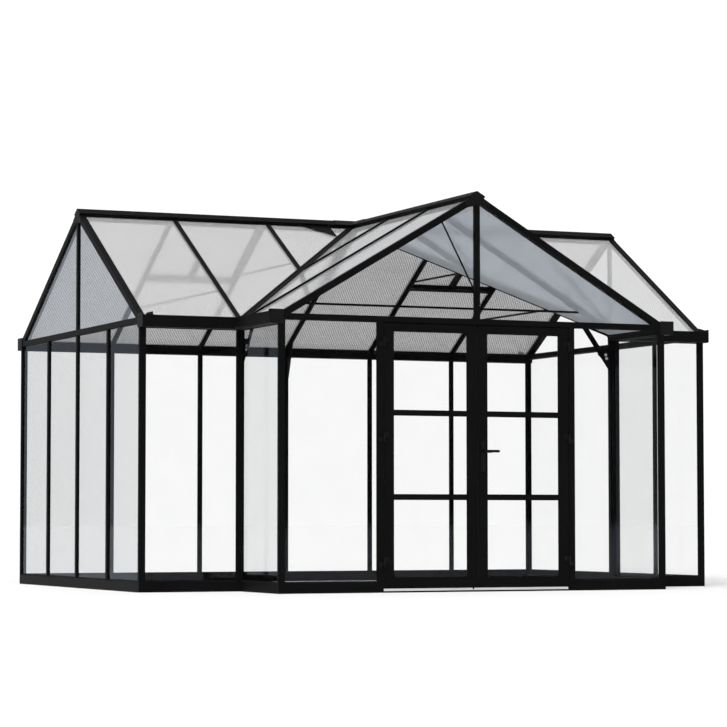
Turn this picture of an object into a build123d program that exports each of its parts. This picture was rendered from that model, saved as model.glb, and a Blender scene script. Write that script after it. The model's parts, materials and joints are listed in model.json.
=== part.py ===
from build123d import *
import os
from math import atan, cos, degrees, sin, sqrt, tan

# A glass greenhouse: a long gabled house with a gabled porch across its front, and double doors in the
# porch. Extruded bars hold single clear sheets in the walls and twin-wall sheets in the roof.
# Millimetres. +X is to the right, +Y to the back and +Z up. The origin is on the ground, under the
# middle of the whole house.

# Plan and heights
main_length = 4410.0
main_depth = 2836.0
porch_depth = 709.0
eave_height = 1870.0          # the roof's top planes over the outer wall planes
apex_height = 2734.0          # where the two top planes of a roof meet
long_bays = 6                 # equal bays along the house
porch_bays = 4                # the bays in the middle that the porch takes up
end_wall_bay_shares = (0.25, 0.5, 0.75)

# Bars of the walls and the roof
frame_depth = 45.0            # outer face of a wall or roof to the inner face of its bars
cap_width = 32.0
rib_width = 14.0
flange_thickness = 6.0
base_height = 75.0
base_bevel = 8.0
tie_height = 40.0             # level bar across the foot of each gable
post_depth = 24.0             # corner posts and jambs, in from the wall's outer face
jamb_width = 45.0
inner_post_width = 53.0       # posts in the corners between porch and house
inner_rib_start = 4.0
inner_rib_width = 31.0
front_king_width = 42.0

# Sheets and the grooves that hold them
sheet_thickness = 4.0
sheet_inset = 12.0            # outer face of the bars to the outer face of the sheet
sheet_clearance = 0.5         # between a sheet and each side of its groove
sheet_bite = 9.0              # how far a sheet reaches into a groove
groove_depth = 11.0

# Eave beams with their gutters
beam_drop = 70.0              # eave height down to the underside of the beam
gutter_reach = 68.0
gutter_wall = 3.0
gutter_radius = 14.0
gutter_lip = 8.0
gutter_lip_rise = 12.0        # the gutter's lip over the eave height
sheet_overhang = 12.0
rafter_overhang = 16.0
end_cap_thickness = 6.0
end_cap_margin = 6.0
end_cap_rise = 26.0           # the cap's top over the eave height
end_cap_inner = 34.0

# Ridges, valleys and their covers
ridge_half_width = 52.0
ridge_rise = 19.0             # the ridge's cap over the roof's top plane
valley_half_width = 22.0
valley_depth = 50.0
valley_overhang = 16.0
valley_clearance = 2.0
junction_arm = 180.0
junction_thickness = 3.0
apex_plate_reach = 105.0
apex_plate_tail = 6.0
apex_plate_thickness = 3.0

# Roof vents, shut
vent_length = 757.0           # apex down to the foot of the vent
vent_sill_width = 40.0
vent_sill_depth = 34.0
vent_ridge_gap = 4.0
sash_width = 30.0
sash_height = 14.0
sash_lap = 13.0               # how far the sash lies over the caps beside it
stay_width = 50.0
stay_length = 230.0
stay_thickness = 22.0
stay_inset = 4.0

# Tie rods, brace and knee plates
tie_radius = 8.0
brace_radius = 6.0
low_tie_share = 0.27          # of the roof's rise
high_tie_share = 0.57
porch_tie_share = 0.15
brace_foot_share = 0.202
brace_head_share = 0.9        # of the porch's depth
knee_thickness = 5.0
knee_drop = 297.0             # eave height down to the foot of a knee plate
knee_reach = 277.0            # level distance from the valley's foot to the plate's head
knee_strap = 38.0
knee_edge = 10.0
knee_corner_radius = 30.0
back_knee_drop = 350.0
back_knee_reach = 163.0       # in from the back wall's outer face

# Doors
door_opening = 1412.0
leaf_gap = 5.0                # to the jamb
meeting_gap = 8.0
head_gap = 6.0
leaf_bottom = 27.0
leaf_depth = 26.0
stile_width = 70.0
top_rail_height = 52.0
bottom_rail_height = 70.0
door_bar_height = 30.0
door_bar_shares = (0.344, 0.662)      # of the leaf's height
threshold_height = 10.0
threshold_bevel = 4.0

# Hinges, handle and bolt
hinge_shares = (0.1, 0.57, 0.93)      # of the leaf's height
hinge_radius = 7.0
hinge_clearance = 1.0         # barrel to the face of the leaf
hinge_pin_radius = 3.5
hinge_bore_clearance = 0.5
hinge_half_height = 32.0
hinge_joint_gap = 0.3
hinge_plate_width = 36.0
hinge_plate_thickness = 3.0
hinge_pin_end = 3.0           # pin end short of the top of the barrel
handle_height = 961.0
handle_proud = 50.0           # lever's outer face in front of the leaf
lever_length = 115.0
lever_height = 18.0
lever_thickness = 11.0
spindle_radius = 5.0
neck_radius = 8.0
bore_clearance = 0.7
plate_width = 34.0
plate_height = 210.0
plate_drop = 35.0             # plate's middle below the spindle
plate_thickness = 6.0
plate_end_radius = 8.0
bolt_radius = 5.0
bolt_length = 190.0
bolt_inset = 16.0             # from the meeting edge
bolt_floor_gap = 5.0
bolt_strap_height = 24.0
bolt_strap_width = 26.0
bolt_strap_thickness = 13.0
bolt_strap_shares = (0.3, 0.85)       # of the bolt's length

overrun = 20.0                # how far a cut runs past what it cuts

# Places that follow
half_length = main_length / 2
porch_width = main_length / long_bays * porch_bays
half_porch = porch_width / 2
half_door = door_opening / 2
front_y = handle_proud - (handle_proud + porch_depth + main_depth + gutter_reach) / 2
eave_y = front_y + porch_depth
back_y = eave_y + main_depth
ridge_y = eave_y + main_depth / 2
rise = apex_height - eave_height
beam_bottom = eave_height - beam_drop
tie_bottom = eave_height - tie_height
roof_lines = (-half_porch, -half_porch / 2, 0, half_porch / 2, half_porch)
end_lines = [eave_y + share * main_depth for share in end_wall_bay_shares]

slot_near = sheet_inset - sheet_clearance
slot_far = sheet_inset + sheet_thickness + sheet_clearance
slot_width = slot_far - slot_near
slot_middle = (slot_near + slot_far) / 2
flange_far = slot_far + flange_thickness
sheet_edge = cap_width / 2 - sheet_bite      # bar's centre line to the edge of the sheet

FRONT = Vector(0, 1, 0)       # the way in through each wall
BACK = Vector(0, -1, 0)
LEFT = Vector(1, 0, 0)
RIGHT = Vector(-1, 0, 0)
UP = Vector(0, 0, 1)


class Slope:
    """A roof plane: a point on its eave, the ways up it, out of it and along it, and its stations."""

    def __init__(self, eave, inward, run):
        self.pitch = atan(rise / run)
        self.eave = Vector(*eave)
        self.up = inward * cos(self.pitch) + UP * sin(self.pitch)
        self.normal = UP * cos(self.pitch) - inward * sin(self.pitch)
        self.along = self.up.cross(self.normal)
        self.seat = frame_depth * (1 - sin(self.pitch)) / cos(self.pitch)
        self.head = (run - ridge_half_width) / cos(self.pitch)
        self.apex = run / cos(self.pitch)

    def point(self, along, up, depth):
        return self.eave + self.along * along + self.up * up - self.normal * depth

    def across(self, along, up):
        """Section plane of a bar that runs up the slope: across it, and down into the roof."""
        return Plane(origin=self.point(along, up, 0), x_dir=self.along, z_dir=self.up)

    def flat(self, depth):
        """Plane in the slope, at a depth under its top: along the eave, and up the slope."""
        return Plane(origin=self.point(0, 0, depth), x_dir=self.along, z_dir=self.normal)

    def under_bars(self):
        return Plane(origin=self.point(0, 0, frame_depth), x_dir=self.along, z_dir=-self.normal)

    def below_ridge(self):
        return Plane(origin=self.point(0, self.head, 0), x_dir=self.along, z_dir=-self.up)

    def in_section(self, up, depth):
        """Distance in from the outer wall plane, and height over the eave."""
        inward = up * cos(self.pitch) + depth * sin(self.pitch)
        height = up * sin(self.pitch) - depth * cos(self.pitch)
        return inward, height

    def height_at(self, inward, depth):
        return inward * tan(self.pitch) - depth / cos(self.pitch)

    def inward_at(self, height, depth):
        return (height + depth / cos(self.pitch)) / tan(self.pitch)


back_slope = Slope((0, back_y, eave_height), BACK, main_depth / 2)
wing_slope = Slope((0, eave_y, eave_height), FRONT, main_depth / 2)
porch_slope = Slope((-half_porch, eave_y, eave_height), LEFT, half_porch)

# The left valley: its foot, its way up, and the level way from it towards the wing
valley_foot = Vector(-half_porch, eave_y, eave_height)
valley_way = (Vector(0, ridge_y, apex_height) - valley_foot).normalized()
valley_side = UP.cross(valley_way).normalized()
valley_top = valley_way.cross(valley_side)
valley_length = (Vector(0, ridge_y, apex_height) - valley_foot).length


def wall_section(outer, inward):
    """Section plane of an upright bar: across it, and in from the outer face."""
    return Plane(origin=outer, x_dir=inward.cross(UP), z_dir=UP)


def rail_section(outer, inward):
    """Section plane of a level bar: in from the outer face, and up."""
    return Plane(origin=outer, x_dir=inward, z_dir=inward.cross(UP))


def beside_valley(distance):
    """Upright plane along the valley, on the wing's side, or on the porch's where distance is negative."""
    way = valley_side if distance > 0 else -valley_side
    return Plane(origin=valley_foot + valley_side * distance, z_dir=way)


def draw_block(x_from, x_to, y_from, y_to, mode=Mode.ADD):
    with Locations(((x_from + x_to) / 2, (y_from + y_to) / 2)):
        Rectangle(abs(x_to - x_from), abs(y_to - y_from), mode=mode)


def draw_cap(width=cap_width):
    """The part of a glazing bar over the sheets, and the web between their edges."""
    web = width / 2 - groove_depth
    draw_block(-width / 2, width / 2, 0, slot_near)
    draw_block(-web, web, slot_near, slot_far)


def draw_wall_bar(width=cap_width):
    """A glazing bar of a wall: cap, web, and flange behind the sheets."""
    draw_cap(width)
    draw_block(-width / 2, width / 2, slot_far, flange_far)


def draw_roof_bar():
    """A glazing bar of a roof, with a rib under its flange."""
    draw_wall_bar()
    draw_block(-rib_width / 2, rib_width / 2, flange_far, frame_depth)


def draw_gable_cap(side):
    draw_block(0, side * frame_depth, 0, slot_near)
    draw_block(0, side * (frame_depth - groove_depth), slot_near, slot_far)


def draw_gable_bar(side):
    """A rafter at a gable, with a groove on its inner side for the roof and one under it for the gable."""
    draw_gable_cap(side)
    draw_block(0, side * frame_depth, slot_far, frame_depth)
    draw_block(side * slot_near, side * slot_far, frame_depth - groove_depth, frame_depth, Mode.SUBTRACT)


def rafter(slope, along, *cuts):
    """A glazing bar up a slope: its cap runs on over the eave beam, and the rest butts on the beam."""
    with BuildPart() as bar:
        with BuildSketch(slope.across(along, -rafter_overhang)):
            draw_cap()
        extrude(amount=slope.seat + rafter_overhang)
        with BuildSketch(slope.across(along, slope.seat)):
            draw_roof_bar()
        extrude(amount=slope.head - slope.seat)
        for plane in cuts:
            split(bisect_by=plane, keep=Keep.TOP)
    return bar.part


def gable_rafter(slope, along, side):
    with BuildPart() as bar:
        with BuildSketch(slope.across(along, -rafter_overhang)):
            draw_gable_cap(side)
        extrude(amount=slope.seat + rafter_overhang)
        with BuildSketch(slope.across(along, slope.seat)):
            draw_gable_bar(side)
        extrude(amount=slope.head - slope.seat)
    return bar.part


def roof_sheet(slope, from_along, to_along, head, *cuts):
    """A sheet between two bars, from its overhang at the eave up to its head."""
    with BuildPart() as sheet:
        with BuildSketch(slope.flat(sheet_inset + sheet_thickness)):
            draw_block(from_along, to_along, -sheet_overhang, head)
        extrude(amount=sheet_thickness)
        for plane in cuts:
            split(bisect_by=plane, keep=Keep.TOP)
    return sheet.part


def below_apex(slope, down, depth):
    """Distance from a ridge's middle and height over its apex, from a place on the slope beside it."""
    across = down * cos(slope.pitch) - depth * sin(slope.pitch)
    height = -down * sin(slope.pitch) - depth * cos(slope.pitch)
    return across, height


def ridge_bottom(slope):
    return below_apex(slope, ridge_half_width / cos(slope.pitch), frame_depth)


def draw_ridge(slope):
    down = ridge_half_width / cos(slope.pitch)
    draw_halves([(0, ridge_rise / cos(slope.pitch)), below_apex(slope, down, -ridge_rise),
                 ridge_bottom(slope)])


def cut_ridge_grooves(slope):
    """Grooves on both sides of a ridge, in line with the sheets of the roof."""
    down = ridge_half_width / cos(slope.pitch) + (overrun - groove_depth) / 2
    across, height = below_apex(slope, down, slot_middle)
    for side in (-1, 1):
        with Locations((side * across, height)):
            Rectangle(groove_depth + overrun, slot_width, rotation=-side * degrees(slope.pitch),
                      mode=Mode.SUBTRACT)


def draw_halves(points):
    """An outline from the right half of its points, from top to bottom; the left half mirrors it."""
    Polygon(*points, *[(-across, height) for across, height in reversed(points) if across > 0], align=None)


def draw_saddle(slope):
    """A bent cover over a ridge's cap."""
    down = ridge_half_width / cos(slope.pitch)
    top = ridge_rise + junction_thickness
    draw_halves([(0, top / cos(slope.pitch)), below_apex(slope, down, -top),
                 below_apex(slope, down, -ridge_rise), (0, ridge_rise / cos(slope.pitch))])


def draw_apex_plate(slope):
    """A plate over the end of a ridge and the heads of the two rafters beside it."""
    down = ridge_half_width / cos(slope.pitch)
    bottom = below_apex(slope, down, frame_depth)[1] - apex_plate_tail
    draw_halves([(0, ridge_rise / cos(slope.pitch)), below_apex(slope, down, -ridge_rise),
                 below_apex(slope, down, 0), below_apex(slope, apex_plate_reach, 0),
                 below_apex(slope, apex_plate_reach, frame_depth), (0, bottom)])


def draw_eave(slope):
    """An eave beam with the gutter on its outer side: distance in from the wall, height over the eave."""
    top_outer = (0, slope.height_at(0, slot_far))
    seat_top = slope.in_section(slope.seat, slot_far)
    seat_bottom = slope.in_section(slope.seat, frame_depth)
    Polygon((0, -beam_drop), (frame_depth, -beam_drop), seat_bottom, seat_top, top_outer, align=None)
    draw_block(slot_near, slot_far, -beam_drop, groove_depth - beam_drop, Mode.SUBTRACT)


def draw_gutter():
    """A trough with a rounded outer corner and a lip turned in along its top."""
    inner_radius = gutter_radius - gutter_wall
    floor = gutter_wall - beam_drop
    wall = gutter_wall - gutter_reach
    with BuildLine() as outline:
        Polyline((0, floor), (0, -beam_drop), (gutter_radius - gutter_reach, -beam_drop))
        RadiusArc((gutter_radius - gutter_reach, -beam_drop), (-gutter_reach, gutter_radius - beam_drop),
                  gutter_radius)
        Polyline((-gutter_reach, gutter_radius - beam_drop), (-gutter_reach, gutter_lip_rise),
                 (gutter_lip - gutter_reach, gutter_lip_rise),
                 (gutter_lip - gutter_reach, gutter_lip_rise - gutter_wall),
                 (wall, gutter_lip_rise - gutter_wall), (wall, floor + inner_radius))
        RadiusArc((wall, floor + inner_radius), (wall + inner_radius, floor), -inner_radius)
        Line((wall + inner_radius, floor), (0, floor))
    make_face(outline.edges())


def sheet_spans(first_face, lines, last_face, edge=sheet_edge):
    """From and to of each sheet between two grooved faces, with glazing bars on the lines between."""
    starts = [first_face - sheet_bite] + [line + edge for line in lines]
    ends = [line - edge for line in lines] + [last_face + sheet_bite]
    return list(zip(starts, ends))


# Base rails, between the posts and the door's jambs
def base_rail(outer, inward, length):
    with BuildPart() as rail:
        with BuildSketch(rail_section(outer, inward)):
            with BuildLine():
                Polyline((0, 0), (frame_depth, 0), (frame_depth, base_height), (base_bevel, base_height),
                         (0, base_height - base_bevel), close=True)
            make_face()
            draw_block(slot_near, slot_far, base_height - groove_depth, base_height, Mode.SUBTRACT)
        extrude(amount=length)
    return rail.part


jamb_outer = half_door + jamb_width
inner_post_half = inner_post_width / 2
back_rail = base_rail((half_length - frame_depth, back_y, 0), BACK, main_length - 2 * frame_depth)
wing_rail = base_rail((frame_depth - half_length, eave_y, 0), FRONT,
                      half_length - half_porch - inner_post_half - frame_depth)
porch_rail = base_rail((frame_depth - half_porch, front_y, 0), FRONT, half_porch - frame_depth - jamb_outer)
end_rail = base_rail((-half_length, back_y - post_depth, 0), LEFT, main_depth - 2 * post_depth)
porch_side_rail = base_rail((-half_porch, eave_y, 0), LEFT, porch_depth - post_depth)

with BuildPart() as base_rails_long:
    add([wing_rail, porch_rail])
    mirror(about=Plane.YZ)
    add(back_rail)

with BuildPart() as base_rails_cross:
    add([end_rail, porch_side_rail])
    mirror(about=Plane.YZ)

with BuildPart() as door_threshold:
    with BuildSketch(rail_section((-half_door, front_y, 0), FRONT)):
        draw_block(0, frame_depth, 0, threshold_height)
    extrude(amount=door_opening)
    chamfer(door_threshold.edges().filter_by(Axis.X).group_by(Axis.Z)[-1], threshold_bevel)


# Corner posts, grooved on the two faces where walls meet them
def corner_post(x, y, wall_y):
    """A flat post with its outer corner at x and y; one wall lies to its right, and one towards wall_y."""
    with BuildPart() as post:
        with BuildSketch(Plane(origin=(x, y, 0))):
            draw_block(0, frame_depth, 0, wall_y * post_depth)
            draw_block(frame_depth - groove_depth, frame_depth,
                       wall_y * slot_near, wall_y * slot_far, Mode.SUBTRACT)
            draw_block(slot_near, slot_far,
                       wall_y * (post_depth - groove_depth), wall_y * post_depth, Mode.SUBTRACT)
        extrude(amount=beam_bottom)
    return post.part


valley_under = Plane(origin=valley_foot - valley_top * valley_depth, z_dir=-valley_top)
inner_corner = Plane(origin=(-half_porch, eave_y, 0))

with BuildPart() as inner_post:
    with BuildSketch(inner_corner.offset(beam_bottom)):
        draw_block(0, frame_depth, 0, frame_depth)
    extrude(amount=beam_drop)
    split(bisect_by=valley_under, keep=Keep.TOP)
    with BuildSketch(inner_corner):
        draw_block(-inner_post_half, inner_post_half, 0, post_depth)
        draw_block(inner_rib_start, inner_rib_start + inner_rib_width, post_depth, frame_depth)
        draw_block(-inner_post_half, groove_depth - inner_post_half, slot_near, slot_far, Mode.SUBTRACT)
    extrude(amount=beam_bottom)
    with BuildSketch(inner_corner):
        draw_block(slot_near, slot_far, 0, groove_depth)
    extrude(amount=eave_height, mode=Mode.SUBTRACT)

with BuildPart() as corner_posts:
    add(inner_post.part)
    add(corner_post(-half_length, back_y, -1))
    add(corner_post(-half_length, eave_y, 1))
    add(corner_post(-half_porch, front_y, 1))
    mirror(about=Plane.YZ)

# Wall mullions and door jambs
with BuildPart() as back_wall_mullions:
    for line in roof_lines:
        with BuildSketch(wall_section((line, back_y, base_height), BACK)):
            draw_wall_bar()
        extrude(amount=beam_bottom - base_height)

with BuildPart() as end_wall_mullions:
    for line in end_lines:
        with BuildSketch(wall_section((-half_length, line, base_height), LEFT)):
            draw_wall_bar()
        extrude(amount=tie_bottom - base_height)
    mirror(about=Plane.YZ)

with BuildPart() as door_jambs:
    with BuildSketch(wall_section((-jamb_outer, front_y, 0), FRONT)):
        draw_block(0, jamb_width, 0, post_depth)
        draw_block(0, groove_depth, slot_near, slot_far, Mode.SUBTRACT)
    extrude(amount=tie_bottom)
    mirror(about=Plane.YZ)


# Level ties across the foot of each gable, mitred under the rafters
def gable_tie(plane, slope, span, way):
    """plane has its x along the gable from the outer corner, its y up and its z in the direction of way."""
    seat_height = slope.in_section(slope.seat, frame_depth)[1]
    top_start = slope.inward_at(0, frame_depth)
    with BuildPart() as tie:
        with BuildSketch(plane):
            Polygon((frame_depth, -tie_height), (span - frame_depth, -tie_height),
                    (span - frame_depth, seat_height), (span - top_start, 0),
                    (top_start, 0), (frame_depth, seat_height), align=None)
        extrude(amount=way * frame_depth)
        with BuildSketch(plane.offset(way * slot_near)):
            draw_block(0, span, -groove_depth, 0)
            draw_block(0, span, -tie_height, groove_depth - tie_height)
        extrude(amount=way * slot_width, mode=Mode.SUBTRACT)
    return tie.part


left_gable = Plane(origin=(-half_length, eave_y, eave_height), x_dir=(0, 1, 0), z_dir=(1, 0, 0))
front_gable = Plane(origin=(-half_porch, front_y, eave_height), x_dir=(1, 0, 0), z_dir=(0, -1, 0))

with BuildPart() as end_gable_ties:
    add(gable_tie(left_gable, wing_slope, main_depth, 1))
    mirror(about=Plane.YZ)

with BuildPart() as door_header:
    add(gable_tie(front_gable, porch_slope, porch_width, -1))


# Eave beams with gutters, mitred at the inner corners, and slotted where an end wall's sheet passes
def eave_beam(slope, outer, inward, length, slots, *cuts):
    """slots: wall corners where a sheet passes the beam, the way along it, and the post's depth there."""
    with BuildPart() as beam:
        with BuildSketch(rail_section(outer, inward)):
            draw_eave(slope)
            draw_gutter()
        extrude(amount=length)
        for corner, way, post in slots:
            slot_length = frame_depth - post + groove_depth
            middle = Vector(*corner) + way * slot_middle + inward * (frame_depth - slot_length / 2)
            with BuildSketch(Plane(origin=middle, x_dir=way, z_dir=UP)):
                Rectangle(slot_width, slot_length)
            extrude(amount=beam_drop, mode=Mode.SUBTRACT)
        for plane in cuts:
            split(bisect_by=plane, keep=Keep.TOP)
    return beam.part


mitre_origin = (-half_porch, eave_y, 0)
wing_mitre = Plane(origin=mitre_origin, z_dir=(-1, 1, 0))
porch_mitre = Plane(origin=mitre_origin, z_dir=(1, -1, 0))
back_slots = [((-half_length, back_y, beam_bottom), LEFT, post_depth),
              ((half_length, back_y, beam_bottom), RIGHT, post_depth)]
wing_slots = [((-half_length, eave_y, beam_bottom), LEFT, post_depth)]
porch_slots = [((-half_porch, front_y, beam_bottom), FRONT, frame_depth)]
back_beam = eave_beam(back_slope, (half_length, back_y, eave_height), BACK, main_length, back_slots)
wing_beam = eave_beam(wing_slope, (-half_length, eave_y, eave_height), FRONT,
                      half_length - half_porch, wing_slots, wing_mitre)
porch_beam = eave_beam(porch_slope, (-half_porch, eave_y, eave_height), LEFT,
                       porch_depth, porch_slots, porch_mitre)

with BuildPart() as eave_gutter_back:
    add(back_beam)

with BuildPart() as eave_gutters_wings:
    add(wing_beam)
    mirror(about=Plane.YZ)

with BuildPart() as eave_gutters_porch:
    add(porch_beam)
    mirror(about=Plane.YZ)


def gutter_end_cap(plane, amount):
    """A plate over the end of a beam and its gutter; plane has its x inwards and its y up."""
    with BuildPart() as cap:
        with BuildSketch(plane) as outline:
            draw_block(-gutter_reach - end_cap_margin, end_cap_inner, -beam_drop, end_cap_rise)
            fillet(outline.vertices().sort_by_distance((-gutter_reach, -beam_drop, 0))[0], gutter_radius)
        extrude(amount=amount)
    return cap.part


back_left = Plane(origin=(-half_length, back_y, eave_height), x_dir=BACK, z_dir=(-1, 0, 0))
wing_left = Plane(origin=(-half_length, eave_y, eave_height), x_dir=FRONT, z_dir=(1, 0, 0))
porch_left = Plane(origin=(-half_porch, front_y, eave_height), x_dir=LEFT, z_dir=(0, -1, 0))

with BuildPart() as gutter_end_caps:
    add(gutter_end_cap(back_left, end_cap_thickness))
    add(gutter_end_cap(wing_left, -end_cap_thickness))
    add(gutter_end_cap(porch_left, end_cap_thickness))
    mirror(about=Plane.YZ)

# Ridges: one along the house and one out over the porch, which butts on it
main_ridge_end = Plane(origin=(-half_length, ridge_y, apex_height), x_dir=(0, 1, 0), z_dir=(1, 0, 0))
porch_ridge_end = Plane(origin=(0, front_y, apex_height), x_dir=(-1, 0, 0), z_dir=(0, 1, 0))

with BuildPart() as main_ridge_beam:
    with BuildSketch(main_ridge_end):
        draw_ridge(wing_slope)
        cut_ridge_grooves(wing_slope)
    extrude(amount=main_length)

with BuildPart() as porch_ridge_beam:
    with BuildSketch(porch_ridge_end):
        draw_ridge(porch_slope)
        cut_ridge_grooves(porch_slope)
    extrude(amount=ridge_y - front_y)
    split(bisect_by=wing_slope.below_ridge(), keep=Keep.TOP)

with BuildPart() as ridge_junction_cap:
    with BuildSketch(main_ridge_end.offset(half_length - junction_arm)):
        draw_saddle(wing_slope)
    extrude(amount=2 * junction_arm)
    with BuildSketch(porch_ridge_end.offset(ridge_y - front_y - junction_arm)):
        draw_saddle(porch_slope)
    extrude(amount=junction_arm)
    add(main_ridge_beam.part, mode=Mode.SUBTRACT)

with BuildPart() as ridge_end_caps:
    with BuildSketch(main_ridge_end):
        draw_apex_plate(wing_slope)
    extrude(amount=-apex_plate_thickness)
    mirror(about=Plane.YZ)
    with BuildSketch(porch_ridge_end):
        draw_apex_plate(porch_slope)
    extrude(amount=-apex_plate_thickness)

# Rafters
valley_cut = beside_valley(valley_half_width)
porch_cut = beside_valley(-valley_half_width)
left_end_bars = [gable_rafter(back_slope, half_length, -1), gable_rafter(wing_slope, -half_length, 1)]
front_end_bar = gable_rafter(porch_slope, porch_depth, -1)
back_bars = [rafter(back_slope, line) for line in roof_lines]
wing_bars = [rafter(wing_slope, line, valley_cut) for line in (-half_porch, -half_porch / 2)]
porch_bars = [rafter(porch_slope, line, porch_cut) for line in (0, -main_depth / 4)]

with BuildPart() as end_gable_rafters:
    add(left_end_bars)
    mirror(about=Plane.YZ)

with BuildPart() as front_gable_rafters:
    add(front_end_bar)
    mirror(about=Plane.YZ)

with BuildPart() as back_rafters:
    add(back_bars)

with BuildPart() as wing_rafters:
    add(wing_bars)
    mirror(about=Plane.YZ)

with BuildPart() as porch_rafters:
    add(porch_bars)
    mirror(about=Plane.YZ)


# Valley bars, with a trough on top where the two roofs meet
def valley_section(along):
    """Section plane of the left valley: towards the wing, and up."""
    return Plane(origin=valley_foot + valley_way * along, x_dir=valley_side, z_dir=valley_way)


def valley_gradient(slope, way):
    """How a roof plane climbs away from the valley, in the valley's section."""
    return -slope.normal.dot(way) / slope.normal.dot(valley_top)


wing_gradient = valley_gradient(wing_slope, valley_side)
porch_gradient = valley_gradient(porch_slope, -valley_side)
wing_slant = sqrt(1 + wing_gradient ** 2)
porch_slant = sqrt(1 + porch_gradient ** 2)
plan_ratio = half_porch / (main_depth / 2)
plan_share = sqrt(valley_way.X ** 2 + valley_way.Y ** 2)
valley_seat = valley_half_width * max(plan_ratio, 1 / plan_ratio) / plan_share + valley_clearance


def cut_valley_grooves():
    bottom = valley_half_width - groove_depth
    mouth = valley_half_width + overrun
    for side, gradient, slant in ((1, wing_gradient, wing_slant), (-1, porch_gradient, porch_slant)):
        Polygon((side * bottom, bottom * gradient - slot_near * slant),
                (side * mouth, mouth * gradient - slot_near * slant),
                (side * mouth, mouth * gradient - slot_far * slant),
                (side * bottom, bottom * gradient - slot_far * slant), align=None, mode=Mode.SUBTRACT)


wing_edge = wing_gradient * valley_half_width
porch_edge = porch_gradient * valley_half_width

with BuildPart() as valley_rafters:
    with BuildSketch(valley_section(-valley_overhang)):
        Polygon((0, 0), (-valley_half_width, porch_edge),
                (-valley_half_width, porch_edge - slot_far * porch_slant),
                (0, -slot_far * min(wing_slant, porch_slant)),
                (valley_half_width, wing_edge - slot_far * wing_slant),
                (valley_half_width, wing_edge), align=None)
        cut_valley_grooves()
    extrude(amount=valley_seat + valley_overhang)
    with BuildSketch(valley_section(valley_seat)):
        Polygon((0, 0), (-valley_half_width, porch_edge), (-valley_half_width, -valley_depth),
                (valley_half_width, -valley_depth), (valley_half_width, wing_edge), align=None)
        cut_valley_grooves()
    extrude(amount=valley_length - valley_seat)
    split(bisect_by=wing_slope.below_ridge(), keep=Keep.TOP)
    split(bisect_by=porch_slope.below_ridge(), keep=Keep.TOP)
    mirror(about=Plane.YZ)

# King posts, from the gable ties up to the ridges
main_ridge_drop = ridge_bottom(wing_slope)[1]
porch_ridge_drop = ridge_bottom(porch_slope)[1]

with BuildPart() as king_posts:
    with BuildSketch(wall_section((-half_length, ridge_y, eave_height), LEFT)):
        draw_wall_bar()
    extrude(amount=rise + main_ridge_drop)
    mirror(about=Plane.YZ)
    with BuildSketch(wall_section((0, front_y, eave_height), FRONT)):
        draw_wall_bar(front_king_width)
    extrude(amount=rise + porch_ridge_drop)


# Tie rods between facing rafters, and the brace from the porch's ridge to its king post
def main_tie(x, rise_share):
    with BuildPart() as rod:
        with BuildSketch(Plane(origin=(x, ridge_y, eave_height + rise_share * rise), z_dir=(0, 1, 0))):
            Circle(tie_radius)
        extrude(amount=main_depth / 2, both=True)
        split(bisect_by=back_slope.under_bars(), keep=Keep.TOP)
        split(bisect_by=wing_slope.under_bars(), keep=Keep.TOP)
    return rod.part


left_ties = [main_tie(-half_porch, low_tie_share), main_tie(-half_porch / 2, high_tie_share)]
porch_tie_height = eave_height + porch_tie_share * rise

with BuildPart() as collar_ties:
    with BuildSketch(Plane(origin=(0, eave_y, porch_tie_height), z_dir=(-1, 0, 0))):
        Circle(tie_radius)
    extrude(amount=half_porch)
    split(bisect_by=porch_slope.under_bars(), keep=Keep.TOP)
    add(left_ties)
    mirror(about=Plane.YZ)

brace_head = Vector(0, front_y + brace_head_share * porch_depth, apex_height + porch_ridge_drop)
brace_foot = Vector(0, front_y + flange_far, eave_height + brace_foot_share * rise)

with BuildPart() as ridge_brace:
    with BuildSketch(Plane(origin=(brace_head + brace_foot) / 2, z_dir=brace_foot - brace_head)):
        Circle(brace_radius)
    extrude(amount=(brace_foot - brace_head).length / 2 + overrun, both=True)
    split(bisect_by=Plane(origin=brace_head, z_dir=(0, 0, -1)), keep=Keep.TOP)
    split(bisect_by=Plane(origin=brace_foot, z_dir=(0, 1, 0)), keep=Keep.TOP)


# Knee plates: one under the foot of each valley, and one behind the middle of the back wall
valley_plan = Vector(valley_way.X, valley_way.Y, 0).normalized()
valley_upright = Plane(origin=valley_foot, x_dir=valley_plan, z_dir=valley_plan.cross(UP))
valley_climb = valley_way.Z / plan_share


def under_valley(distance, gap=0.0):
    """Height over the eave of the valley bar's underside, or of a line at a gap under it."""
    return distance * valley_climb - (valley_depth + gap) / plan_share


def draw_valley_knee():
    """Level distance from the valley's foot, and height over the eave. Returns the window's outer corner."""
    start = (post_depth + knee_thickness) / valley_plan.Y
    post_side = (inner_rib_start + inner_rib_width) / valley_plan.X
    climb = (under_valley(knee_reach) + knee_drop) / (knee_reach - post_side)
    foot = -knee_drop - climb * post_side
    strap_top = foot + knee_strap * sqrt(1 + climb ** 2)
    window_side = post_side + knee_edge
    window_head = (under_valley(0, knee_edge) - strap_top) / (climb - valley_climb)
    Polygon((start, under_valley(start)), (start, foot + climb * start),
            (knee_reach, under_valley(knee_reach)), align=None)
    corner = (window_side, under_valley(window_side, knee_edge))
    Polygon(corner, (window_side, strap_top + climb * window_side),
            (window_head, under_valley(window_head, knee_edge)), align=None, mode=Mode.SUBTRACT)
    return (*corner, 0)


with BuildPart() as valley_knee:
    with BuildSketch(valley_upright) as outline:
        window_corner = draw_valley_knee()
        fillet(outline.vertices().sort_by_distance(window_corner)[0], knee_corner_radius)
    extrude(amount=knee_thickness / 2, both=True)
    add(inner_post.part, mode=Mode.SUBTRACT)

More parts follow.
